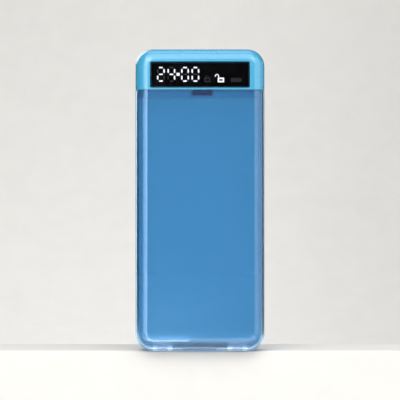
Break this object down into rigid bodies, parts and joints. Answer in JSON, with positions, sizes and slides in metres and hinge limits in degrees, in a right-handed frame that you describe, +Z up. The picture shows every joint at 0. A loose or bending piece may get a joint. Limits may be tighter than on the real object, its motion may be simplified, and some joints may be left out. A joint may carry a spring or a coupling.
{
  "type": "timer lock box for a mobile phone",
  "caption": "Slim clear-blue phone lock box with an opaque head, timer display, hinged front lid, motor-driven bolt and push buttons.",
  "frame": {"origin": "centre of the bottom edge, midway between the front and back faces", "axes": "+Z up along the height, -Y out of the front face, +X to the right seen from the front"},
  "size_m": [0.094, 0.032, 0.22],
  "materials": {
    "clear_case": "clear blue, polished",
    "clear_lid": "clear blue, polished",
    "catch_plastic": "dark blue, glossy",
    "head_shell": "sky blue, glossy",
    "button_plastic": "sky blue, satin",
    "smoked_window": "smoked, polished",
    "display_body": "matte black",
    "lit_segments": "glowing white",
    "unlit_segments": "dark grey",
    "circuit_board": "green solder mask",
    "chip_body": "matte black",
    "steel": "ground steel",
    "screw_steel": "zinc plated",
    "motor_steel": "nickel plated",
    "gearbox_brass": "brass plates",
    "bolt_metal": "machined",
    "white_plastic": "white acetal",
    "frame_plastic": "black, moulded",
    "cell_foil": "laminated foil",
    "lead_jacket": "soft insulation"
  },
  "bodies": {
    "case": {"rear_case": "clear_case", "hinge_pins": "steel", "head_housing": "head_shell", "head_rear_cover": "head_shell", "display_window": "smoked_window", "display_module": "display_body", "display_lit": "lit_segments", "display_unlit": "unlit_segments", "main_board": "circuit_board", "board_chips": "chip_body", "button_board": "circuit_board", "tact_switches": "chip_body", "charging_socket": "steel", "battery_cell": "cell_foil", "battery_leads": "lead_jacket", "lock_frame": "frame_plastic", "lock_motor": "motor_steel", "motor_gearbox": "gearbox_brass", "motor_leads": "lead_jacket", "cover_screws": "screw_steel", "case_screws": "screw_steel", "frame_screws": "screw_steel", "board_screws": "screw_steel"},
    "lid": {"lid": "clear_lid", "lid_catch": "catch_plastic"},
    "crank": {"motor_shaft": "steel", "crank_arm": "white_plastic"},
    "bolt": {"lock_bolt": "bolt_metal"},
    "hour_key": {"hour_button": "button_plastic", "hour_plunger": "white_plastic"},
    "minute_key": {"minute_button": "button_plastic", "minute_plunger": "white_plastic"},
    "lock_key": {"lock_button": "button_plastic", "lock_plunger": "white_plastic"}
  },
  "joints": [
    {"name": "lid_hinge", "type": "hinge", "parent": "case", "child": "lid", "pos_m": [0, -0.007, 0.0026], "axis": [1, 0, 0], "range_deg": [0, 100]},
    {"name": "crank_turn", "type": "hinge", "parent": "case", "child": "crank", "pos_m": [0, -0.00067, 0.20099], "axis": [1, 0, 0], "range_deg": [0, 80]},
    {"name": "bolt_slide", "type": "slide", "parent": "case", "child": "bolt", "axis": [0, 0, -1], "range_m": [0, 0.00411]},
    {"name": "hour_press", "type": "slide", "parent": "case", "child": "hour_key", "axis": [0, 0, -1], "range_m": [0, 0.0005], "stiffness_N_per_m": 900},
    {"name": "minute_press", "type": "slide", "parent": "case", "child": "minute_key", "axis": [0, 0, -1], "range_m": [0, 0.0005], "stiffness_N_per_m": 900},
    {"name": "lock_press", "type": "slide", "parent": "case", "child": "lock_key", "axis": [0, 0, -1], "range_m": [0, 0.0005], "stiffness_N_per_m": 900}
  ],
  "couplings": [
    {"joint": "crank_turn", "follows": "bolt_slide", "rad_per_m": 339.41}
  ]
}
